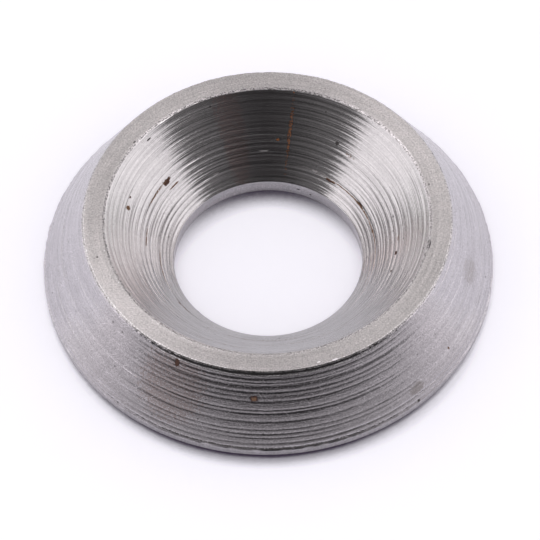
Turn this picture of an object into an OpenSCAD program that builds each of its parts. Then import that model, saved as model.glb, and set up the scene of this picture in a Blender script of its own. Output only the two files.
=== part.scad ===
// Turned cup washer for a countersunk screw.
// One piece of bar, turned all over: a straight hole, a conical seat for the
// screw head, a flat rim, a flared skirt with the feed marks of the tool on it,
// and a short upright edge that stands on a flat base.
// Millimetres, +Z up, origin at the middle of the hole on the base plane.

/* [Screw seat] */
// Diameter of the screw hole
bore_d = 8.4; // [3:0.1:17]
// Height of the straight wall of the hole, under the seat
bore_wall_h = 0.65; // [0.2:0.05:3]
// Depth of the conical seat, from the rim to the hole
seat_depth = 3; // [1:0.05:8]
// Angle of the conical seat, across both sides
seat_angle = 90; // [60:1:120]

/* [Outside] */
// Width of the flat rim around the seat
rim_w = 0.95; // [0.3:0.05:4]
// How far the base stands out past the rim, on each side
skirt_flare = 1.85; // [0.2:0.05:8]
// Height of the upright edge around the base
base_edge_h = 0.3; // [0.1:0.05:1]

/* [Turning] */
// Flat that breaks each sharp corner of the rim
corner_break = 0.05; // [0.01:0.01:0.1]
// Feed of the tool along the skirt, from one ridge to the next
skirt_feed = 0.42; // [0.2:0.01:1]
// Depth of the groove between two ridges
feed_depth = 0.03; // [0.01:0.005:0.05]

/* [Hidden] */
$fn = 180;

bore_r = bore_d / 2;
seat_r = bore_r + seat_depth * tan(seat_angle / 2);
rim_r = seat_r + rim_w;
base_r = rim_r + skirt_flare;
height = bore_wall_h + seat_depth;

// The skirt's foot and its head, and the straight line between them
skirt_foot = [base_r, base_edge_h];
skirt_head = [rim_r, height - corner_break];
skirt_line = skirt_head - skirt_foot;
skirt_l = norm(skirt_line);
skirt_in = [-skirt_line.y, skirt_line.x] / skirt_l;

// Whole ridges only: the feed is evened out over the skirt's length
ridges = max(1, round(skirt_l / skirt_feed));

// A point on the skirt at a share of its length, sunk by a depth
function skirt_point(share, depth = 0) =
    skirt_foot + share * skirt_line + depth * skirt_in;

// Groove, then ridge, up the skirt; the last ridge is the skirt's head
skirt_outline = [
    for (i = [1 : ridges])
        each [skirt_point((i - 0.5) / ridges, feed_depth), skirt_point(i / ridges)]
];

// Half of the washer's section, counter-clockwise from the foot of the hole
section = [
    [bore_r, 0],
    [base_r, 0],
    skirt_foot,
    each skirt_outline,
    [rim_r - corner_break, height],
    [seat_r + corner_break, height],
    [seat_r - corner_break * tan(seat_angle / 2), height - corner_break],
    [bore_r, bore_wall_h]
];

module cup_washer() {
    color([0.66, 0.64, 0.64])
        rotate_extrude()
            polygon(section);
}

cup_washer();
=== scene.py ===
"""Looks of a turned steel cup washer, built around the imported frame.

The washer is one turned piece, so one Geometry Nodes lathe sweeps its section round the Z axis, face by face,
and leaves the tool's grooves and the burred corners in the mesh. Metres, +Z up, the frame's own origin.
"""
import math
from typing import NamedTuple

import bpy
from mathutils import Matrix, Vector


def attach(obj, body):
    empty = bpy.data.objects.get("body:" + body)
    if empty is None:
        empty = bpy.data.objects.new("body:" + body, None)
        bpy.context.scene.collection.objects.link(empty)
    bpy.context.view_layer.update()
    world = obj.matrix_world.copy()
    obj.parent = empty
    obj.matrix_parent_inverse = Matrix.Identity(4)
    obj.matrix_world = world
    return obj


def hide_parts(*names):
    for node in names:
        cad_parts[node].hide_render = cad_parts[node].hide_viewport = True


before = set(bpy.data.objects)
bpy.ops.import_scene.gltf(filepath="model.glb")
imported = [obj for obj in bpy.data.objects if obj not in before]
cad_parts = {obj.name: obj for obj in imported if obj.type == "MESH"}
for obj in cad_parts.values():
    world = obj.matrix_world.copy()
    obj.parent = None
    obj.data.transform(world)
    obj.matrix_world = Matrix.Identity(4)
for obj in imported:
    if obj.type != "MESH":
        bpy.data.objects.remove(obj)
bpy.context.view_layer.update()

MM = 0.001
MICRON = 0.001 * MM

# Lathe
SEGMENTS = 400
CORNER_BREAK = 0.05 * MM
MERGE_DISTANCE = 0.001 * MM
SHARP_ANGLE = math.radians(22)
TURNING_MAP = "turning"

# Steps of the mesh along each face of the section, in the section's own order
FACE_STEPS = {
    "base": 2,
    "base_edge": 5,
    "skirt": 122,
    "outer_corner": 3,
    "rim": 8,
    "inner_corner": 3,
    "seat": 98,
    "hole": 4,
}
FACE_NAMES = list(FACE_STEPS)
# Faces whose section order runs downwards or inwards, from the rim
DOWNWARD_FACES = ("rim", "seat", "hole")

# Deepest grooves of the tool: share of the face from its foot, half width in mm, depth in microns
SKIRT_GROOVES = [
    (0.031, 0.07, 17),
    (0.099, 0.055, 16),
    (0.167, 0.045, 11),
    (0.219, 0.05, 14),
    (0.271, 0.05, 17),
    (0.375, 0.07, 17),
    (0.479, 0.05, 17),
    (0.521, 0.045, 14),
    (0.635, 0.05, 14),
    (0.698, 0.05, 8),
    (0.750, 0.06, 11),
    (0.828, 0.09, 16),
    (0.875, 0.04, 8),
    (0.927, 0.045, 12),
    (0.993, 0.045, 14),
]
SEAT_GROOVES = [
    (0.05, 0.045, 7),
    (0.09, 0.04, 7),
    (0.15, 0.045, 9),
    (0.20, 0.05, 13),
    (0.265, 0.04, 5),
    (0.30, 0.04, 8),
    (0.335, 0.04, 9),
    (0.40, 0.05, 7),
    (0.465, 0.05, 9),
    (0.53, 0.05, 8),
    (0.60, 0.05, 7),
    (0.635, 0.04, 6),
    (0.69, 0.03, 3),
    (0.73, 0.05, 6),
    (0.78, 0.03, 3),
    (0.815, 0.04, 5),
    (0.88, 0.04, 3),
    (0.94, 0.05, 6),
]
# Rings between the deep grooves: how many fit along the face, and their depth
SKIRT_RINGS = (40.0, 4 * MICRON)
SEAT_RINGS = (60.0, 5 * MICRON)
# How much the rings change round the axis
RING_WANDER = 0.6
# How the deep grooves come and go: changes round the axis, changes along the face for each ring,
# span of the noise that steers them, shallowest and deepest
GROOVE_WANDER = 2.5
GROOVE_SPREAD = 0.5
GROOVE_NOISE = (0.25, 0.75)
GROOVE_SHALLOW = 0.4
GROOVE_DEEP = 1.6
# How near the ends of the face all marks fade out
MARKS_FADE = 0.004

# Marks too fine for the mesh: name, how fast they change round the axis, closeness along the face, detail
RING_MARKS = [
    ("Lines", 1.3, 1.0, 1.0),
    ("Tears", 18.0, 1.3, 1.0),
    ("Bands", 1.3, 0.3, 2.0),
]
# Keeps the patterns of these marks apart
MARK_SHIFT = 10.0

# Burrs along the corners
# How close to its ends the skirt is burred, and how strongly at its head and its foot
SKIRT_BURR = 80.0
HEAD_BURR = 2.0
FOOT_BURR = 3.0
# How close to its top the upright edge is burred, and how strongly the inner corner
BASE_EDGE_BURR = 3.0
INNER_BURR = 1.0
BURR_LENGTH = 0.22 * MM
BURR_HEIGHT = 40 * MICRON
BURR_GRAIN = 0.07 * MM
BURR_BUMP = 9 * MICRON
# Steel of each corner at the front and at the back, and the sines of the angles between which it changes; the
# inner corner's lighter front is painted light
BURR_COLOURS = {
    "outer_corner": ((0.420, 0.404, 0.398, 1.0), (0.420, 0.404, 0.398, 1.0)),
    # Painted light: the inner corner is lighter at the front than at the back, so that it does not show as a
    # dark line there
    "inner_corner": ((0.500, 0.480, 0.472, 1.0), (0.300, 0.288, 0.284, 1.0)),
}
BURR_TURN = (-0.9, 0.0)
# Span of the grain between the darkest and the brightest specks, their shades and their roughness
BURR_SPECKLE = (0.4, 0.6)
BURR_SHADES = (0.35, 1.6)
BURR_ROUGHNESS = (0.36, 0.26)

# Tones of rust and grime, and of a painted shadow and painted glints
RUST_DARK = (0.060, 0.028, 0.020, 1.0)
RUST_BROWN = (0.130, 0.070, 0.040, 1.0)
RUST_ORANGE = (0.170, 0.062, 0.022, 1.0)
GRIME = (0.045, 0.040, 0.040, 1.0)
# Painted shadow: the tone of the dark line under the rim's outer edge at the front
RIM_SHADOW_PAINT = (0.012, 0.011, 0.011, 1.0)
BROWN_STEEL = (0.400, 0.345, 0.340, 1.0)
BROWN_FILM = (0.520, 0.430, 0.410, 1.0)
OLD_STEEL = (0.360, 0.335, 0.335, 1.0)
# Painted glints: metal far brighter than the steel, for the sparkle of burr tips
PAINTED_GLINT = (0.900, 0.880, 0.880, 1.0)
# Tones that are still bare metal, the painted glints among them
METAL_TONES = (BROWN_STEEL, BROWN_FILM, OLD_STEEL, PAINTED_GLINT)

# Spots: face, angle round the axis in degrees, share from the face's foot or inside,
# half length round the axis in degrees, half width as a share of the face, cover, tone
SPOTS = [
    ("seat", 143, 0.46, 2.6, 0.032, 1.0, RUST_DARK),
    ("seat", 151, 0.47, 9.0, 0.010, 0.6, RUST_BROWN),
    ("seat", 141, 0.37, 4.0, 0.009, 0.7, RUST_BROWN),
    ("seat", 167, 0.71, 1.1, 0.026, 0.9, RUST_BROWN),
    ("seat", 162, 0.73, 0.6, 0.014, 0.9, RUST_DARK),
    ("seat", 138, 0.94, 1.2, 0.008, 0.8, GRIME),
    ("seat", 79, 0.50, 1.0, 0.560, 0.26, RUST_ORANGE),
    ("seat", 79, 0.56, 0.9, 0.260, 0.38, RUST_ORANGE),
    ("seat", 84, 0.46, 0.7, 0.016, 0.8, RUST_ORANGE),
    ("seat", 104, 0.50, 6.0, 0.700, 0.50, BROWN_FILM),
    ("seat", 53, 0.18, 3.5, 0.014, 0.9, RUST_DARK),
    ("seat", 30, 0.195, 3.5, 0.016, 1.0, RUST_DARK),
    ("seat", 23, 0.19, 34.0, 0.008, 0.6, RUST_BROWN),
    ("seat", 11, 0.19, 1.5, 0.014, 0.8, RUST_BROWN),
    ("seat", 57, 0.58, 1.0, 0.020, 0.7, GRIME),
    ("seat", 49, 0.53, 3.0, 0.020, 0.3, RUST_BROWN),
    ("seat", -2, 0.53, 1.6, 0.010, 0.5, RUST_BROWN),
    ("seat", -10, 0.515, 1.0, 0.016, 1.0, RUST_DARK),
    ("seat", -20, 0.52, 0.7, 0.011, 0.8, RUST_DARK),
    ("seat", -145, 0.21, 1.3, 0.012, 0.9, RUST_BROWN),
    ("seat", -142, 0.20, 7.0, 0.008, 0.5, RUST_BROWN),
    ("seat", -170, 0.20, 14.0, 0.009, 0.5, RUST_BROWN),
    ("seat", 176, 0.40, 6.0, 0.008, 0.5, RUST_BROWN),
    ("seat", -138, 0.005, 1.0, 0.010, 0.9, RUST_DARK),
    ("seat", -95, 0.28, 28.0, 0.014, 0.35, RUST_BROWN),
    ("seat", -80, 0.55, 30.0, 0.014, 0.30, RUST_BROWN),
    ("seat", -112, 0.75, 16.0, 0.014, 0.30, RUST_BROWN),
    ("skirt", -119, 0.62, 10.0, 0.500, 0.45, BROWN_STEEL),
    ("skirt", -119, 0.905, 0.9, 0.065, 1.0, RUST_DARK),
    ("skirt", -95, 0.665, 1.3, 0.042, 0.65, RUST_DARK),
    ("skirt", -95, 0.660, 0.7, 0.022, 0.70, RUST_BROWN),
    # Painted highlight: a bright band just below the rim at the front
    ("skirt", -92, 0.963, 36.0, 0.011, 0.55, PAINTED_GLINT),
    # Painted shadow: a dark line just under the rim's outer edge at the front, where the rim's burr overhangs
    ("skirt", -92, 0.989, 42.0, 0.013, 1.0, RIM_SHADOW_PAINT),
    ("skirt", -92, 0.030, 40.0, 0.012, 0.45, GRIME),
    ("skirt", -49, 0.175, 2.4, 0.070, 0.6, OLD_STEEL),
    ("skirt", -12, 0.50, 4.5, 0.140, 0.45, OLD_STEEL),
    ("skirt", -35, 0.265, 0.30, 0.022, 0.8, RUST_BROWN),
    ("skirt", -50, 0.02, 0.4, 0.016, 0.7, GRIME),
    ("rim", -166, 0.52, 0.4, 0.050, 0.8, GRIME),
    ("rim", -13, 0.02, 2.6, 0.040, 0.7, GRIME),
    ("rim", 143, 0.02, 0.7, 0.050, 0.8, GRIME),
    # Painted glints: bright specks along both edges of the rim at the front, and two single specks
    ("rim", -145, 0.97, 48.0, 0.040, 0.33, PAINTED_GLINT),
    ("rim", -48, 0.98, 45.0, 0.030, 0.33, PAINTED_GLINT),
    ("rim", -100, 0.05, 70.0, 0.050, 0.20, PAINTED_GLINT),
    ("rim", -70, 0.95, 0.9, 0.060, 1.0, PAINTED_GLINT),
    ("rim", -75, 0.83, 0.6, 0.050, 1.0, PAINTED_GLINT),
    ("hole", 70, 0.55, 0.8, 0.070, 0.8, GRIME),
    ("hole", 62, 0.40, 0.8, 0.070, 0.8, GRIME),
]
# Hair scratches: their slants across the rings, and how many lengths and widths of them fit in a millimetre
SCRATCH_SLANTS = (0.75, -0.95)
SCRATCH_LENGTHS = 1.4
SCRATCH_WIDTHS = 20.0
SCRATCH_DEPTH = 2 * MICRON
# Span of the noise from no scratch to a full one
SCRATCH_SPAN = (0.755, 0.795)

# Ragged break along the end of a face, in the section's order
EDGE_WIDTH = 0.05 * MM
EDGE_RAGGED = 0.10 * MM
EDGE_GRAIN = 0.08 * MM
EDGE_DEPTH = 14 * MICRON

# Spots: how ragged their outline is, where it starts and ends as a share of their half size, how much stays
# bare with no cover and with full cover, how soft their flecks are, and the mask at which rust turns matt
SPOT_RAGGED = 0.9
SPOT_EDGE = (1.1, 0.6)
SPOT_BARE = (0.75, 0.15)
FLECK_EDGE = 0.04
SPOT_CORE = 0.5
SPOT_GRAIN = 0.11 * MM
FLECK_GRAIN = 0.05 * MM
STAIN_AND_SHADOW_ROUGHNESS = 0.75
STAIN_AND_SHADOW_SHINE = 0.2
# Cloudy mottle of the steel
MOTTLE_SIZE = 0.7 * MM
# Pits: their spacing, the chances that give a cell one, its largest radius and its soft edge in cells
PIT_SPACING = 0.4 * MM
PIT_CHANCE = (0.7, 1.0)
PIT_RADIUS = 0.17
PIT_EDGE = 0.05

# Camera, fitted to the edges of the washer in the photograph
CAMERA_TARGET = Vector((0.00007, -0.00021, 0.0))
CAMERA_DISTANCE = 0.1992
CAMERA_ELEVATION = math.radians(54.82)
CAMERA_ROLL = math.radians(-1.46)
CAMERA_LENS = 297.9
SENSOR_WIDTH = 36.0
CLIP_NEAR = 0.01
CLIP_FAR = 10.0

# Socket types of node groups
FLOAT = "NodeSocketFloat"
INTEGER = "NodeSocketInt"
GEOMETRY = "NodeSocketGeometry"


class Tree:
    """A node tree, with short ways to add nodes and feed their sockets."""

    def __init__(self, tree):
        self.tree = tree

    def add(self, kind, **settings):
        node = self.tree.nodes.new(kind)
        for name, value in settings.items():
            setattr(node, name, value)
        return node

    def feed(self, socket, value):
        if isinstance(value, bpy.types.NodeSocket):
            self.tree.links.new(value, socket)
        else:
            socket.default_value = value

    def feed_all(self, node, inputs):
        for name, value in inputs.items():
            socket = next(s for s in node.inputs if s.name == name and s.enabled)
            self.feed(socket, value)
        return node

    def math(self, operation, *values, clamp=False):
        node = self.add("ShaderNodeMath", operation=operation, use_clamp=clamp)
        for socket, value in zip(node.inputs, values):
            self.feed(socket, value)
        return node.outputs[0]

    def hypotenuse(self, one_side, other_side):
        one_square = self.math("MULTIPLY", one_side, one_side)
        other_square = self.math("MULTIPLY", other_side, other_side)
        return self.math("SQRT", self.math("ADD", one_square, other_square))

    def xyz(self, x, y, z):
        node = self.add("ShaderNodeCombineXYZ")
        for socket, value in zip(node.inputs, (x, y, z)):
            self.feed(socket, value)
        return node.outputs[0]

    def split(self, vector):
        node = self.add("ShaderNodeSeparateXYZ")
        self.feed(node.inputs[0], vector)
        return node.outputs

    def noise(self, vector, scale, detail=2.0, roughness=0.5):
        node = self.add("ShaderNodeTexNoise")
        values = {"Vector": vector, "Scale": scale, "Detail": detail, "Roughness": roughness}
        return self.feed_all(node, values).outputs[0]

    def scale_range(self, value, low, high, to_low=0.0, to_high=1.0, smooth=False):
        node = self.add("ShaderNodeMapRange")
        node.interpolation_type = "SMOOTHSTEP" if smooth else "LINEAR"
        values = {"Value": value, "From Min": low, "From Max": high, "To Min": to_low, "To Max": to_high}
        return self.feed_all(node, values).outputs[0]

    def blend(self, mask, below, above):
        node = self.add("ShaderNodeMix", data_type="RGBA")
        self.feed_all(node, {"Factor": mask, "A": below, "B": above})
        return next(s for s in node.outputs if s.enabled)

    def shade(self, colour, factor):
        """A colour made lighter or darker by a factor."""
        node = self.add("ShaderNodeMix", data_type="RGBA", blend_type="MULTIPLY")
        self.feed_all(node, {"Factor": 1.0, "A": colour, "B": self.xyz(factor, factor, factor)})
        return next(s for s in node.outputs if s.enabled)

    def group(self, group, inputs):
        kind = "GeometryNodeGroup" if group.bl_idname == "GeometryNodeTree" else "ShaderNodeGroup"
        return self.feed_all(self.add(kind, node_tree=group), inputs)


def new_group(name, kind, inputs, outputs):
    """A node group with named sockets, each given as name: (socket type, default or None)."""
    group = bpy.data.node_groups.new(name, kind)
    for in_out, sockets in (("INPUT", inputs), ("OUTPUT", outputs)):
        for socket_name, (socket_type, default) in sockets.items():
            socket = group.interface.new_socket(socket_name, in_out=in_out, socket_type=socket_type)
            if default is not None:
                socket.default_value = default
    tree = Tree(group)
    return tree, tree.add("NodeGroupInput").outputs, tree.add("NodeGroupOutput").inputs


def section_sizes():
    """The washer's radii and heights, read from the CAD node's own corners."""
    corners = [v.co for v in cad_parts["cup_washer"].data.vertices]
    near = 0.5 * CORNER_BREAK
    height = max(c.z for c in corners)
    base_r = max(c.xy.length for c in corners)
    hole_r = min(c.xy.length for c in corners)
    top = [c.xy.length for c in corners if height - c.z < near]
    return {
        "Hole Radius": hole_r,
        "Hole Wall": max(c.z for c in corners if c.xy.length - hole_r < near),
        "Rim Inside": min(top),
        "Rim Outside": max(top),
        "Base Radius": base_r,
        "Base Edge": max(c.z for c in corners if base_r - c.xy.length < near),
        "Height": height,
    }


# Geometry Nodes

def store(tree, geometry, name, value, data_type, domain):
    node = tree.add("GeometryNodeStoreNamedAttribute", data_type=data_type, domain=domain)
    return tree.feed_all(node, {"Geometry": geometry, "Name": name, "Value": value}).outputs[0]


def stored(tree, name, data_type="FLOAT"):
    node = tree.add("GeometryNodeInputNamedAttribute", data_type=data_type)
    node.inputs["Name"].default_value = name
    return next(s for s in node.outputs if s.name == "Attribute" and s.enabled)


def turned_face_group():
    """One face of the section, from its start to its end, swept round the axis with its tool marks."""
    inputs = {
        "Start Radius": (FLOAT, 0.01),
        "Start Height": (FLOAT, 0.0),
        "End Radius": (FLOAT, 0.01),
        "End Height": (FLOAT, 0.01),
        "Marks": (FLOAT, 0.0),
        "Burr": (FLOAT, 0.0),
        "Steps": (INTEGER, 4),
        "Segments": (INTEGER, 64),
        "Face": (INTEGER, 0),
    }
    tree, given, result = new_group("turned_face", "GeometryNodeTree", inputs, {"Mesh": (GEOMETRY, None)})
    grid = tree.add("GeometryNodeMeshGrid")
    tree.feed_all(grid, {
        "Size X": 1.0,
        "Size Y": 1.0,
        "Vertices X": tree.math("ADD", given["Segments"], 1.0),
        "Vertices Y": tree.math("ADD", given["Steps"], 1.0),
    })
    place = tree.split(tree.add("GeometryNodeInputPosition").outputs[0])
    turn = tree.math("ADD", place[0], 0.5)
    share = tree.math("ADD", place[1], 0.5)

    mesh = store(tree, grid.outputs["Mesh"], TURNING_MAP, tree.xyz(turn, share, 0.0), "FLOAT2", "CORNER")
    mesh = store(tree, mesh, "share", share, "FLOAT", "POINT")
    mesh = store(tree, mesh, "turn", turn, "FLOAT", "POINT")
    mesh = store(tree, mesh, "burr", given["Burr"], "FLOAT", "POINT")
    mesh = store(tree, mesh, "face", given["Face"], "INT", "FACE")

    run = tree.math("SUBTRACT", given["End Radius"], given["Start Radius"])
    rise = tree.math("SUBTRACT", given["End Height"], given["Start Height"])
    marks = tree.math("DIVIDE", given["Marks"], tree.hypotenuse(run, rise))
    radius = tree.math("MULTIPLY_ADD", run, share, given["Start Radius"])
    radius = tree.math("MULTIPLY_ADD", rise, marks, radius)
    height = tree.math("MULTIPLY_ADD", rise, share, given["Start Height"])
    height = tree.math("SUBTRACT", height, tree.math("MULTIPLY", run, marks))
    angle = tree.math("MULTIPLY", turn, math.tau)
    x = tree.math("MULTIPLY", radius, tree.math("COSINE", angle))
    y = tree.math("MULTIPLY", radius, tree.math("SINE", angle))
    swept = tree.add("GeometryNodeSetPosition")
    tree.feed_all(swept, {"Geometry": mesh, "Position": tree.xyz(x, y, height)})
    tree.feed(result["Mesh"], swept.outputs[0])
    return tree.tree


def tool_groove_group():
    """Cuts one round-bottomed groove into a height, at a share of the face."""
    inputs = {
        "Height": (FLOAT, 0.0),
        "Share": (FLOAT, 0.0),
        "Centre": (FLOAT, 0.5),
        "Face Length": (FLOAT, 0.004),
        "Half Width": (FLOAT, 0.0001),
        "Depth": (FLOAT, 0.0),
    }
    tree, given, result = new_group("tool_groove", "GeometryNodeTree", inputs, {"Height": (FLOAT, None)})
    away = tree.math("SUBTRACT", given["Share"], given["Centre"])
    away = tree.math("DIVIDE", tree.math("MULTIPLY", away, given["Face Length"]), given["Half Width"])
    bell = tree.math("EXPONENT", tree.math("MULTIPLY", tree.math("MULTIPLY", away, away), -1.0))
    cut = tree.math("MULTIPLY", bell, given["Depth"])
    tree.feed(result["Height"], tree.math("SUBTRACT", given["Height"], cut))
    return tree.tree


def tool_marks(tree, share, face_length, grooves, rings, groove_group):
    """Height of the tool's marks on a cone: rings all over, and the listed grooves."""
    ring_count, ring_depth = rings
    angle = tree.math("MULTIPLY", stored(tree, "turn"), math.tau)
    cosine = tree.math("COSINE", angle)
    sine = tree.math("SINE", angle)
    ring_place = tree.xyz(
        tree.math("MULTIPLY", cosine, RING_WANDER),
        tree.math("MULTIPLY", sine, RING_WANDER),
        tree.math("MULTIPLY", share, ring_count),
    )
    ring = tree.math("SUBTRACT", tree.noise(ring_place, 1.0, detail=2.0, roughness=0.6), 0.5)
    height = tree.math("MULTIPLY", ring, ring_depth)
    groove_place = tree.xyz(
        tree.math("MULTIPLY", cosine, GROOVE_WANDER),
        tree.math("MULTIPLY", sine, GROOVE_WANDER),
        tree.math("MULTIPLY", share, GROOVE_SPREAD * ring_count),
    )
    coming = tree.noise(groove_place, 1.0)
    cutting = tree.scale_range(coming, *GROOVE_NOISE, GROOVE_SHALLOW, GROOVE_DEEP)
    for centre, half_width, depth in grooves:
        groove = tree.group(groove_group, {
            "Height": height,
            "Share": share,
            "Centre": centre,
            "Face Length": face_length,
            "Half Width": half_width * MM,
            "Depth": tree.math("MULTIPLY", cutting, depth * MICRON),
        })
        height = groove.outputs[0]
    ends = tree.math("MULTIPLY", share, tree.math("SUBTRACT", 1.0, share))
    return tree.math("MULTIPLY", height, tree.scale_range(ends, 0.0, MARKS_FADE, smooth=True))


def distance_between(tree, start, end):
    run = tree.math("SUBTRACT", end[0], start[0])
    rise = tree.math("SUBTRACT", end[1], start[1])
    return tree.hypotenuse(run, rise)


def is_face(tree, name):
    here = tree.add("FunctionNodeCompare", data_type="INT", operation="EQUAL")
    tree.feed_all(here, {"A": stored(tree, "face", "INT"), "B": FACE_NAMES.index(name)})
    return here.outputs[0]


def washer_group(size_names, materials):
    """The whole washer: every face swept, joined into one closed skin, grooved and burred."""
    inputs = {name: (FLOAT, 0.01) for name in size_names}
    inputs["Corner Break"] = (FLOAT, CORNER_BREAK)
    inputs["Segments"] = (INTEGER, SEGMENTS)
    tree, given, result = new_group("cup_washer", "GeometryNodeTree", inputs, {"Mesh": (GEOMETRY, None)})
    face_group = turned_face_group()
    groove_group = tool_groove_group()

    below_rim = tree.math("SUBTRACT", given["Height"], given["Corner Break"])
    skirt_head = tree.math("ADD", given["Rim Outside"], given["Corner Break"])
    # The inner break takes its width from the rim and, at 45 degrees, as much from the seat
    inner_break = tree.math("MULTIPLY", given["Corner Break"], 2.0)
    seat_mouth = tree.math("SUBTRACT", given["Rim Inside"], inner_break)
    corners = [
        (given["Hole Radius"], 0.0),
        (given["Base Radius"], 0.0),
        (given["Base Radius"], given["Base Edge"]),
        (skirt_head, below_rim),
        (given["Rim Outside"], given["Height"]),
        (given["Rim Inside"], given["Height"]),
        (seat_mouth, below_rim),
        (given["Hole Radius"], given["Hole Wall"]),
    ]
    share = stored(tree, "share")
    from_foot = tree.math("SUBTRACT", 1.0, share)
    skirt_length = distance_between(tree, corners[2], corners[3])
    seat_length = distance_between(tree, corners[6], corners[7])
    marks = {
        "skirt": tool_marks(tree, share, skirt_length, SKIRT_GROOVES, SKIRT_RINGS, groove_group),
        "seat": tool_marks(tree, from_foot, seat_length, SEAT_GROOVES, SEAT_RINGS, groove_group),
    }
    skirt_head_burr = tree.math("MULTIPLY", tree.math("POWER", share, SKIRT_BURR), HEAD_BURR)
    skirt_foot_burr = tree.math("MULTIPLY", tree.math("POWER", from_foot, SKIRT_BURR), FOOT_BURR)
    burrs = {
        "base_edge": tree.math("MULTIPLY", tree.math("POWER", share, BASE_EDGE_BURR), FOOT_BURR),
        "skirt": tree.math("ADD", skirt_head_burr, skirt_foot_burr),
        "outer_corner": HEAD_BURR,
        "inner_corner": INNER_BURR,
    }

    join = tree.add("GeometryNodeJoinGeometry")
    for number, name in enumerate(FACE_NAMES):
        start = corners[number]
        end = corners[(number + 1) % len(corners)]
        face = tree.group(face_group, {
            "Start Radius": start[0],
            "Start Height": start[1],
            "End Radius": end[0],
            "End Height": end[1],
            "Marks": marks.get(name, 0.0),
            "Burr": burrs.get(name, 0.0),
            "Steps": FACE_STEPS[name],
            "Segments": given["Segments"],
            "Face": number,
        })
        tree.tree.links.new(face.outputs[0], join.inputs[0])
    merge = tree.add("GeometryNodeMergeByDistance")
    tree.feed_all(merge, {"Geometry": join.outputs[0], "Distance": MERGE_DISTANCE})

    place = tree.add("GeometryNodeInputPosition").outputs[0]
    ragged = tree.noise(place, 1.0 / BURR_LENGTH, detail=2.0, roughness=0.7)
    height = tree.math("MULTIPLY", tree.math("SUBTRACT", ragged, 0.5), BURR_HEIGHT)
    lift = tree.add("ShaderNodeVectorMath", operation="SCALE")
    tree.feed_all(lift, {
        "Vector": tree.add("GeometryNodeInputNormal").outputs[0],
        "Scale": tree.math("MULTIPLY", height, stored(tree, "burr")),
    })
    burred = tree.add("GeometryNodeSetPosition")
    tree.feed_all(burred, {"Geometry": merge.outputs[0], "Offset": lift.outputs[0]})

    smooth = tree.add("GeometryNodeSetShadeSmooth", domain="FACE")
    tree.feed_all(smooth, {"Geometry": burred.outputs[0], "Shade Smooth": True})
    bend = tree.add("GeometryNodeInputMeshEdgeAngle").outputs[0]
    crisp = tree.add("GeometryNodeSetShadeSmooth", domain="EDGE")
    sharp = tree.math("GREATER_THAN", bend, SHARP_ANGLE)
    tree.feed_all(crisp, {"Geometry": smooth.outputs[0], "Selection": sharp, "Shade Smooth": False})
    finished = tree.add("GeometryNodeRealizeInstances")
    tree.feed_all(finished, {"Geometry": crisp.outputs[0]})
    dressed = finished.outputs[0]
    for name in FACE_NAMES:
        dress = tree.add("GeometryNodeSetMaterial")
        tree.feed_all(dress, {
            "Geometry": dressed,
            "Selection": is_face(tree, name),
            "Material": materials[name],
        })
        dressed = dress.outputs[0]
    tree.feed(result["Mesh"], dressed)
    return tree.tree


def lathe_piece(name, group, sizes):
    """A plain mesh object at the origin, made by a node group with the given sizes."""
    piece = bpy.data.objects.new(name, bpy.data.meshes.new(name))
    lathe = piece.modifiers.new("lathe", "NODES")
    lathe.node_group = group
    for socket in group.interface.items_tree:
        if socket.name in sizes:
            lathe[socket.identifier] = sizes[socket.name]
    bpy.context.scene.collection.objects.link(piece)
    depsgraph = bpy.context.evaluated_depsgraph_get()
    mesh = bpy.data.meshes.new_from_object(
        piece.evaluated_get(depsgraph), preserve_all_data_layers=True, depsgraph=depsgraph
    )
    piece.modifiers.remove(lathe)
    piece.data = mesh
    mesh.name = name
    return piece


# Shader groups, shared by the materials

def turning_map(tree):
    """The turn round the axis and the share along the face, each from 0 to 1."""
    return tree.split(tree.add("ShaderNodeUVMap", uv_map=TURNING_MAP).outputs[0])


def object_place(tree):
    return tree.add("ShaderNodeTexCoord").outputs["Object"]


def turning_place(tree, rings, wander, shift):
    """A place for noise that runs round the axis: slow round it, quick along the face."""
    turning = turning_map(tree)
    angle = tree.math("MULTIPLY", turning[0], math.tau)
    return tree.xyz(
        tree.math("MULTIPLY_ADD", tree.math("COSINE", angle), wander, shift),
        tree.math("MULTIPLY", tree.math("SINE", angle), wander),
        tree.math("MULTIPLY", turning[1], rings),
    )


def ring_lines_group():
    """Marks of the tool round the axis: long fine lines, short torn dashes, and broad grimy bands."""
    inputs = {"Rings": (FLOAT, 60.0)}
    outputs = {"Lines": (FLOAT, None), "Tears": (FLOAT, None), "Bands": (FLOAT, None)}
    tree, given, result = new_group("ring_lines", "ShaderNodeTree", inputs, outputs)
    for name, wander, closeness, detail in RING_MARKS:
        rings = tree.math("MULTIPLY", given["Rings"], closeness)
        place = turning_place(tree, rings, wander, MARK_SHIFT * closeness)
        tree.feed(result[name], tree.noise(place, 1.0, detail=detail))
    return tree.tree


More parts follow.
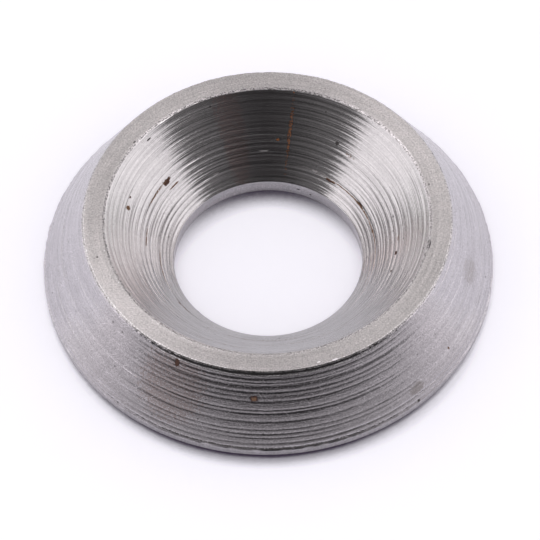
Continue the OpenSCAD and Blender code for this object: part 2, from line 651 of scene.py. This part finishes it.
def steel_grain_group():
    """Grain of the steel: a fine speckle, a cloudy mottle, and a few small pits."""
    inputs = {"Grain Size": (FLOAT, 0.08 * MM), "Pit Spacing": (FLOAT, PIT_SPACING)}
    outputs = {"Speckle": (FLOAT, None), "Mottle": (FLOAT, None), "Pits": (FLOAT, None)}
    tree, given, result = new_group("steel_grain", "ShaderNodeTree", inputs, outputs)
    place = object_place(tree)
    speckle_scale = tree.math("DIVIDE", 1.0, given["Grain Size"])
    tree.feed(result["Speckle"], tree.noise(place, speckle_scale, detail=2.0, roughness=0.6))
    tree.feed(result["Mottle"], tree.noise(place, 1.0 / MOTTLE_SIZE, detail=4.0, roughness=0.65))
    cells = tree.add("ShaderNodeTexVoronoi")
    tree.feed_all(cells, {"Vector": place, "Scale": tree.math("DIVIDE", 1.0, given["Pit Spacing"])})
    chance = tree.split(cells.outputs["Color"])[0]
    pit_size = tree.scale_range(chance, *PIT_CHANCE, 0.0, PIT_RADIUS)
    inside = tree.math("SUBTRACT", pit_size, cells.outputs["Distance"])
    tree.feed(result["Pits"], tree.scale_range(inside, 0.0, PIT_EDGE, smooth=True))
    return tree.tree


def spot_group():
    """A ragged spot on a face, at an angle round the axis and a share along the face."""
    inputs = {
        "Turn": (FLOAT, 0.5),
        "Share": (FLOAT, 0.5),
        "Half Turn": (FLOAT, 0.01),
        "Half Share": (FLOAT, 0.01),
        "Cover": (FLOAT, 1.0),
    }
    tree, given, result = new_group("spot", "ShaderNodeTree", inputs, {"Mask": (FLOAT, None)})
    turning = turning_map(tree)
    around = tree.math("WRAP", tree.math("SUBTRACT", turning[0], given["Turn"]), 0.5, -0.5)
    around = tree.math("DIVIDE", around, given["Half Turn"])
    along = tree.math("DIVIDE", tree.math("SUBTRACT", turning[1], given["Share"]), given["Half Share"])
    place = object_place(tree)
    ragged = tree.math("SUBTRACT", tree.noise(place, 1.0 / SPOT_GRAIN, detail=3.0, roughness=0.6), 0.5)
    reach = tree.math("MULTIPLY_ADD", ragged, 2.0 * SPOT_RAGGED, tree.hypotenuse(around, along))
    inside = tree.scale_range(reach, *SPOT_EDGE, smooth=True)
    bare = tree.scale_range(given["Cover"], 0.0, 1.0, *SPOT_BARE)
    flecks = tree.math("SUBTRACT", tree.noise(place, 1.0 / FLECK_GRAIN, detail=1.0), bare)
    flecked = tree.scale_range(flecks, -FLECK_EDGE, FLECK_EDGE)
    tree.feed(result["Mask"], tree.math("MULTIPLY", inside, flecked))
    return tree.tree


def hair_scratches_group():
    """Short thin scratches that lie across the rings at a slant."""
    inputs = {"Round Length": (FLOAT, 57.0), "Face Length": (FLOAT, 3.8), "Slant": (FLOAT, 0.6)}
    tree, given, result = new_group("hair_scratches", "ShaderNodeTree", inputs, {"Mask": (FLOAT, None)})
    turning = turning_map(tree)
    x = tree.math("MULTIPLY", turning[0], given["Round Length"])
    y = tree.math("MULTIPLY", turning[1], given["Face Length"])
    cosine = tree.math("COSINE", given["Slant"])
    sine = tree.math("SINE", given["Slant"])
    lengthwise = tree.math("MULTIPLY_ADD", x, cosine, tree.math("MULTIPLY", y, sine))
    across = tree.math("SUBTRACT", tree.math("MULTIPLY", y, cosine), tree.math("MULTIPLY", x, sine))
    place = tree.xyz(
        tree.math("MULTIPLY", lengthwise, SCRATCH_LENGTHS),
        tree.math("MULTIPLY", across, SCRATCH_WIDTHS),
        given["Slant"],
    )
    hairs = tree.noise(place, 1.0, detail=0.0)
    tree.feed(result["Mask"], tree.scale_range(hairs, *SCRATCH_SPAN, smooth=True))
    return tree.tree


def worn_end_group():
    """Ragged break along the end of a face: 1 at the very end, 0 further in."""
    inputs = {"Face Length": (FLOAT, 3.8)}
    tree, given, result = new_group("worn_end", "ShaderNodeTree", inputs, {"Mask": (FLOAT, None)})
    share = turning_map(tree)[1]
    remaining = tree.math("SUBTRACT", 1.0, share)
    inwards = tree.math("MULTIPLY", tree.math("MULTIPLY", remaining, given["Face Length"]), MM)
    place = object_place(tree)
    ragged = tree.math("SUBTRACT", tree.noise(place, 1.0 / EDGE_GRAIN, detail=1.0), 0.5)
    inwards = tree.math("MULTIPLY_ADD", ragged, EDGE_RAGGED, inwards)
    tree.feed(result["Mask"], tree.scale_range(inwards, 0.0, EDGE_WIDTH, 1.0, 0.0))
    return tree.tree


# Materials

ring_lines = ring_lines_group()
steel_grain = steel_grain_group()
spot = spot_group()
hair_scratches = hair_scratches_group()
worn_end = worn_end_group()


def new_material(name):
    material = bpy.data.materials.new(name)
    material.use_nodes = True
    material.node_tree.nodes.clear()
    tree = Tree(material.node_tree)
    shader = tree.add("ShaderNodeBsdfPrincipled")
    output = tree.add("ShaderNodeOutputMaterial")
    tree.feed(output.inputs["Surface"], shader.outputs[0])
    return material, tree, shader


def add_spots(tree, face, colour):
    """Lays the face's spots over its colour. Gives the colour, and one mask of the spots that are not metal:
    stains and the painted shadow line.
    """
    stain_and_shadow = 0.0
    for spot_face, angle, share, half_angle, half_share, cover, tone in SPOTS:
        if spot_face != face:
            continue
        mark = tree.group(spot, {
            "Turn": (angle / 360.0) % 1.0,
            "Share": 1.0 - share if face in DOWNWARD_FACES else share,
            "Half Turn": half_angle / 360.0,
            "Half Share": half_share,
            "Cover": cover,
        })
        mask = mark.outputs["Mask"]
        colour = tree.blend(tree.scale_range(mask, 0.0, SPOT_CORE), colour, tone)
        if tone not in METAL_TONES:
            stain_and_shadow = tree.math("MAXIMUM", stain_and_shadow, tree.scale_range(mask, SPOT_CORE, 1.0))
    return colour, stain_and_shadow


def bump(tree, height):
    """A normal that follows a height in metres."""
    node = tree.add("ShaderNodeBump")
    return tree.feed_all(node, {"Strength": 1.0, "Distance": 1.0, "Height": height}).outputs[0]


class Finish(NamedTuple):
    """How a face was turned: its steel, and the tool's marks that are too fine for the mesh."""

    colour: tuple
    roughness: float
    anisotropy: float
    # Length round the axis and along the face, mm
    lengths: tuple
    rings: float
    line_depth: float
    tear_depth: float
    grain: float
    grain_depth: float
    speckle: float
    scratches: float
    wear: float
    line_swing: float = 0.09
    edge_tint: float = 1.0


CONE_COLOUR = (0.486, 0.466, 0.484)
SEAT_COLOUR = (0.498, 0.486, 0.482)
RIM_COLOUR = (0.468, 0.449, 0.436)
FINISHES = {
    "skirt": Finish(
        colour=CONE_COLOUR, roughness=0.20, anisotropy=0.4, lengths=(57.0, 3.8),
        rings=48.0, line_depth=4 * MICRON, tear_depth=8 * MICRON,
        grain=0.06 * MM, grain_depth=8 * MICRON, speckle=0.24, scratches=1.0, wear=1.0,
        line_swing=0.06,
    ),
    "seat": Finish(
        colour=SEAT_COLOUR, roughness=0.17, anisotropy=0.5, lengths=(36.0, 4.2),
        rings=90.0, line_depth=6 * MICRON, tear_depth=1.5 * MICRON,
        grain=0.07 * MM, grain_depth=1 * MICRON, speckle=0.10, scratches=0.15, wear=0.2,
        line_swing=0.13, edge_tint=0.75,
    ),
    "rim": Finish(
        colour=RIM_COLOUR, roughness=0.42, anisotropy=0.8, lengths=(48.0, 0.9),
        rings=12.0, line_depth=3 * MICRON, tear_depth=0.0,
        grain=0.07 * MM, grain_depth=11 * MICRON, speckle=0.27, scratches=0.3, wear=0.3,
    ),
    "hole": Finish(
        colour=CONE_COLOUR, roughness=0.35, anisotropy=0.5, lengths=(26.0, 0.6),
        rings=12.0, line_depth=4 * MICRON, tear_depth=4 * MICRON,
        grain=0.07 * MM, grain_depth=12 * MICRON, speckle=0.22, scratches=0.3, wear=1.0,
    ),
    "base": Finish(
        colour=CONE_COLOUR, roughness=0.32, anisotropy=0.5, lengths=(45.0, 5.8),
        rings=70.0, line_depth=8 * MICRON, tear_depth=3 * MICRON,
        grain=0.07 * MM, grain_depth=3 * MICRON, speckle=0.12, scratches=1.0, wear=1.0,
    ),
}
# The upright edge round the base is turned as the hole is, and has been knocked about more
FINISHES["base_edge"] = FINISHES["hole"]._replace(lengths=(63.0, 0.3), speckle=0.30)
# Shares by which a colour or a gloss swings to either side
MOTTLE_SWING = 0.05
BAND_SWING = 0.06
GLOSS_SWING = 0.15
SCRATCH_LIGHT = 0.22
PIT_COVER = 0.6
# Span of a noise texture that holds nearly all its values
NOISE_SPAN = (0.3, 0.7)
QUARTER_TURN = 0.25


def swing(tree, noise, share):
    """A factor round 1 that follows a noise, up and down by a share."""
    return tree.scale_range(noise, *NOISE_SPAN, 1.0 - share, 1.0 + share)


def turned_steel(face, finish):
    """Steel with the tool's lines round the axis, grime between them, pits, scratches and rust spots, and on
    the skirt and the rim a painted shadow line and painted glints.
    """
    material, tree, shader = new_material("turned_" + face)
    marks = tree.group(ring_lines, {"Rings": finish.rings}).outputs
    grains = tree.group(steel_grain, {"Grain Size": finish.grain}).outputs
    scratched = 0.0
    for slant in SCRATCH_SLANTS:
        scratch = {"Round Length": finish.lengths[0], "Face Length": finish.lengths[1], "Slant": slant}
        mask = tree.group(hair_scratches, scratch).outputs["Mask"]
        scratched = tree.math("MAXIMUM", scratched, mask)
    scratched = tree.math("MULTIPLY", scratched, finish.scratches)

    shading = swing(tree, grains["Speckle"], finish.speckle)
    shading = tree.math("MULTIPLY", shading, swing(tree, grains["Mottle"], MOTTLE_SWING))
    shading = tree.math("MULTIPLY", shading, swing(tree, marks["Bands"], BAND_SWING))
    shading = tree.math("MULTIPLY", shading, swing(tree, marks["Lines"], finish.line_swing))
    shading = tree.math("MULTIPLY_ADD", scratched, SCRATCH_LIGHT, shading)
    steel = tree.shade((*finish.colour, 1.0), shading)
    steel = tree.blend(tree.math("MULTIPLY", grains["Pits"], PIT_COVER), steel, GRIME)
    steel, stain_and_shadow = add_spots(tree, face, steel)

    gloss = tree.math("MULTIPLY", swing(tree, marks["Lines"], GLOSS_SWING), finish.roughness)
    height = tree.math("MULTIPLY", marks["Lines"], finish.line_depth)
    height = tree.math("MULTIPLY_ADD", marks["Tears"], finish.tear_depth, height)
    height = tree.math("MULTIPLY_ADD", grains["Speckle"], finish.grain_depth, height)
    height = tree.math("MULTIPLY_ADD", scratched, -SCRATCH_DEPTH, height)
    worn = tree.group(worn_end, {"Face Length": finish.lengths[1]}).outputs["Mask"]
    height = tree.math("MULTIPLY_ADD", worn, -EDGE_DEPTH * finish.wear, height)
    tangent = tree.add("ShaderNodeTangent", direction_type="UV_MAP", uv_map=TURNING_MAP)
    tree.feed_all(shader, {
        "Base Color": steel,
        "Metallic": tree.math("SUBTRACT", 1.0, stain_and_shadow),
        "Roughness": tree.scale_range(stain_and_shadow, 0.0, 1.0, gloss, STAIN_AND_SHADOW_ROUGHNESS),
        "Specular IOR Level": STAIN_AND_SHADOW_SHINE,
        "Specular Tint": (finish.edge_tint, finish.edge_tint, finish.edge_tint, 1.0),
        "Anisotropic": finish.anisotropy,
        "Anisotropic Rotation": QUARTER_TURN,
        "Tangent": tangent.outputs[0],
        "Normal": bump(tree, height),
    })
    return material


def burred_steel(corner, front_colour, back_colour):
    """Torn steel of a corner: bright and dark specks on a rough surface, its colour changing from front to
    back, which on the inner corner is painted light.
    """
    material, tree, shader = new_material("burred_" + corner)
    turn = turning_map(tree)[0]
    sine = tree.math("SINE", tree.math("MULTIPLY", turn, math.tau))
    colour = tree.blend(tree.scale_range(sine, *BURR_TURN), front_colour, back_colour)
    grains = tree.group(steel_grain, {"Grain Size": BURR_GRAIN}).outputs
    shading = tree.scale_range(grains["Speckle"], *BURR_SPECKLE, *BURR_SHADES)
    tree.feed_all(shader, {
        "Base Color": tree.shade(colour, shading),
        "Metallic": 1.0,
        "Roughness": tree.scale_range(grains["Speckle"], *NOISE_SPAN, *BURR_ROUGHNESS),
        "Normal": bump(tree, tree.math("MULTIPLY", grains["Speckle"], BURR_BUMP)),
    })
    return material


# Stage

FLOOR_HALF = 0.8
FLOOR_GAP = 0.01 * MM
FLOOR_COLOUR = (0.950, 0.925, 1.000, 1.0)
FLOOR_SHADE = (0.045, 0.031, 0.060, 1.0)
# Glow of the open floor, so that it is white
FLOOR_LIFT = 0.1
PAPER_ROUGHNESS = 0.9
PAPER_SHINE = 0.1
# Share of the contact shadow that the steel mirrors
MIRRORED_SHADE = 0.45
# Contact shadow: how near the washer has to be, which way the shade looks for it, how much of the shade
# is relieved by what stands on the other side, and the closeness at which the shade starts and is full,
# outside the washer and in its hole
CONTACT_REACH = 1.2 * MM
CONTACT_LEAN = Vector((0.0, 0.95, 0.31)).normalized()
CONTACT_RELIEF = 0.45
CONTACT_SPAN = (0.25, 0.55)
HOLE_SPAN = (0.17, 0.59)
HOLE_CURVE = 1.3
UNDER_WASHER = 7.0 * MM
AO_SAMPLES = 16
# Distances of the panels from the axis, at their lower and upper edge
TENT_RADII = (0.45, 0.45)
FLAG_RADII = (0.44, 0.44)
ZENITH_RADII = (0.46, 0.46)
CARD_RADII = (0.020, 0.020)
FLOOR_CARD_RADII = (0.0108, 0.020)


class Panel(NamedTuple):
    """A part of the dome round the washer. Angles in degrees, glow with white as 1.

    Pairs are for the lower and the upper edge. Azimuths count from the camera's side.
    """

    facing: float
    halves: tuple
    elevations: tuple
    middle: tuple
    sides: tuple
    radii: tuple = TENT_RADII


TENT_PANELS = {
    "front_flag": Panel(1.5, (75.5, 59.5), (-3, 45), (0.0, 0.068), (0.10, 0.36), FLAG_RADII),
    "upper_flag": Panel(1.5, (59.5, 69), (45, 66), (0.068, 0.02), (0.36, 0.36), FLAG_RADII),
    "left_gap_flag": Panel(-73, (9, 9), (46, 57), (0.1, 0.1), (0.1, 0.1), FLAG_RADII),
    "left_gap_box": Panel(-72, (11, 11), (57, 66), (2.2, 2.2), (2.2, 2.2)),
    "left_box": Panel(-105, (50, 50), (8, 45), (1.45, 1.7), (1.2, 1.4)),
    "right_box": Panel(105, (50, 50), (8, 45), (1.5, 1.7), (0.75, 0.9)),
    "left_high_box": Panel(-118, (35, 35), (45, 72), (3.6, 3.6), (3.6, 3.6)),
    "right_high_box": Panel(66, (35, 35), (45, 72), (3.3, 3.3), (3.3, 3.3)),
    "back_panel": Panel(180, (40, 40), (0, 65), (0.81, 0.81), (0.81, 0.81)),
    "zenith": Panel(180, (180, 180), (66, 90), (1.05, 1.05), (1.05, 1.05), ZENITH_RADII),
    "low_card": Panel(0, (76, 76), (-1, 13), (0.36, 0.04), (1.10, 0.80), CARD_RADII),
    "floor_card": Panel(0, (76, 76), (0.2, 0.15), (0.48, 0.48), (1.10, 1.10), FLOOR_CARD_RADII),
}
PANEL_COLOUR = (1.0, 0.962, 1.0, 1.0)
PANEL_COLUMNS = 24
PANEL_ROWS = 12
# How late the glow of a panel's middle changes to that of its sides
SIDE_FADE = 2.0
# How late its lower edge's glow changes to that of the upper edge
HEIGHT_FADE = 2.0
GLOW = "glow"


def panel_glow():
    """Light of the panels, as strong as each point of a panel says."""
    material = bpy.data.materials.new("panel_glow")
    material.use_nodes = True
    material.node_tree.nodes.clear()
    tree = Tree(material.node_tree)
    level = tree.add("ShaderNodeAttribute", attribute_name=GLOW)
    glow = tree.add("ShaderNodeEmission")
    tree.feed_all(glow, {"Color": PANEL_COLOUR, "Strength": level.outputs["Fac"]})
    tree.feed(tree.add("ShaderNodeOutputMaterial").inputs["Surface"], glow.outputs[0])
    return material


def between(ends, share):
    return ends[0] + (ends[1] - ends[0]) * share


def tent_panel(name, panel, material):
    """A part of a dome that only the steel's reflections see. The world lights the floor."""
    points = []
    glow = []
    for row in range(PANEL_ROWS + 1):
        height_share = row / PANEL_ROWS
        elevation = math.radians(between(panel.elevations, height_share))
        half = between(panel.halves, height_share)
        late_share = height_share ** HEIGHT_FADE
        levels = (between(panel.middle, late_share), between(panel.sides, late_share))
        radius = between(panel.radii, height_share)
        flat = radius * math.cos(elevation)
        height = radius * math.sin(elevation)
        for column in range(PANEL_COLUMNS + 1):
            side_share = 2.0 * column / PANEL_COLUMNS - 1.0
            azimuth = math.radians(panel.facing + half * side_share)
            points.append((flat * math.sin(azimuth), -flat * math.cos(azimuth), height))
            glow.append(between(levels, abs(side_share) ** SIDE_FADE))
    across = PANEL_COLUMNS + 1
    faces = [
        (r * across + c, r * across + c + 1, (r + 1) * across + c + 1, (r + 1) * across + c)
        for r in range(PANEL_ROWS) for c in range(PANEL_COLUMNS)
    ]
    mesh = bpy.data.meshes.new(name)
    mesh.from_pydata(points, [], faces)
    mesh.attributes.new(GLOW, "FLOAT", "POINT").data.foreach_set("value", glow)
    mesh.materials.append(material)
    piece = bpy.data.objects.new(name, mesh)
    piece.visible_camera = False
    piece.visible_diffuse = False
    piece.visible_shadow = False
    bpy.context.scene.collection.objects.link(piece)


def closeness(tree, lean):
    """How much of the way into a direction is shut by something near."""
    open_share = tree.add("ShaderNodeAmbientOcclusion", samples=AO_SAMPLES)
    tree.feed_all(open_share, {"Distance": CONTACT_REACH, "Normal": tree.xyz(*lean)})
    return tree.math("SUBTRACT", 1.0, open_share.outputs["AO"])


def floor_paper():
    """Pale paper, white in the open and dark where the washer stands close on it."""
    material, tree, shader = new_material("floor_paper")
    behind = closeness(tree, CONTACT_LEAN)
    before = closeness(tree, CONTACT_LEAN * Vector((1.0, -1.0, 1.0)))
    relieved = tree.math("MULTIPLY_ADD", before, -CONTACT_RELIEF, behind)
    place = tree.split(object_place(tree))
    outside = tree.math("GREATER_THAN", tree.hypotenuse(place[0], place[1]), UNDER_WASHER)
    in_hole = tree.math("POWER", tree.scale_range(relieved, *HOLE_SPAN), HOLE_CURVE)
    around = tree.scale_range(relieved, *CONTACT_SPAN, smooth=True)
    shade = tree.scale_range(outside, 0.0, 1.0, in_hole, around)
    ray = tree.add("ShaderNodeLightPath").outputs
    direct = ray["Is Camera Ray"]
    shade = tree.math("MULTIPLY", shade, tree.scale_range(direct, 0.0, 1.0, MIRRORED_SHADE, 1.0))
    mirrored = tree.math("MAXIMUM", ray["Is Glossy Ray"], ray["Is Transmission Ray"])
    lift = tree.math("MULTIPLY", tree.math("MAXIMUM", direct, mirrored), FLOOR_LIFT)
    tree.feed_all(shader, {
        "Base Color": tree.blend(shade, FLOOR_COLOUR, FLOOR_SHADE),
        "Roughness": PAPER_ROUGHNESS,
        "Specular IOR Level": PAPER_SHINE,
        "Emission Color": (1.0, 1.0, 1.0, 1.0),
        "Emission Strength": tree.math("MULTIPLY", lift, tree.math("SUBTRACT", 1.0, shade)),
    })
    return material


def make_floor():
    mesh = bpy.data.meshes.new("floor")
    far = FLOOR_HALF
    corners = [(-far, -far), (far, -far), (far, far), (-far, far)]
    mesh.from_pydata([(x, y, -FLOOR_GAP) for x, y in corners], [], [(0, 1, 2, 3)])
    mesh.materials.append(floor_paper())
    floor = bpy.data.objects.new("floor", mesh)
    bpy.context.scene.collection.objects.link(floor)


def make_world():
    world = bpy.data.worlds.new("tent_cloth")
    world.use_nodes = True
    background = world.node_tree.nodes["Background"]
    background.inputs["Color"].default_value = (1.0, 1.0, 1.0, 1.0)
    background.inputs["Strength"].default_value = 1.0
    world.cycles.sampling_method = "NONE"
    bpy.context.scene.world = world


def make_camera():
    back = Vector((0.0, -math.cos(CAMERA_ELEVATION), math.sin(CAMERA_ELEVATION)))
    right = Vector((1.0, 0.0, 0.0))
    up = back.cross(right)
    turned_right = right * math.cos(CAMERA_ROLL) + up * math.sin(CAMERA_ROLL)
    turned_up = up * math.cos(CAMERA_ROLL) - right * math.sin(CAMERA_ROLL)
    data = bpy.data.cameras.new("camera")
    data.sensor_width = SENSOR_WIDTH
    data.lens = CAMERA_LENS
    data.clip_start = CLIP_NEAR
    data.clip_end = CLIP_FAR
    camera = bpy.data.objects.new("camera", data)
    place = Matrix((turned_right, turned_up, back)).transposed().to_4x4()
    place.translation = CAMERA_TARGET + back * CAMERA_DISTANCE
    camera.matrix_world = place
    bpy.context.scene.collection.objects.link(camera)
    bpy.context.scene.camera = camera


make_camera()
make_world()
make_floor()
glow_material = panel_glow()
for panel_name, tent_part in TENT_PANELS.items():
    tent_panel(panel_name, tent_part, glow_material)

materials = {corner: burred_steel(corner, *colours) for corner, colours in BURR_COLOURS.items()}
for face_name, face_finish in FINISHES.items():
    materials[face_name] = turned_steel(face_name, face_finish)
sizes = section_sizes()
washer = lathe_piece("turned_washer", washer_group(sizes, materials), sizes)
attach(washer, "root")
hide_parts("cup_washer")

bpy.context.scene.view_settings.view_transform = "Standard"
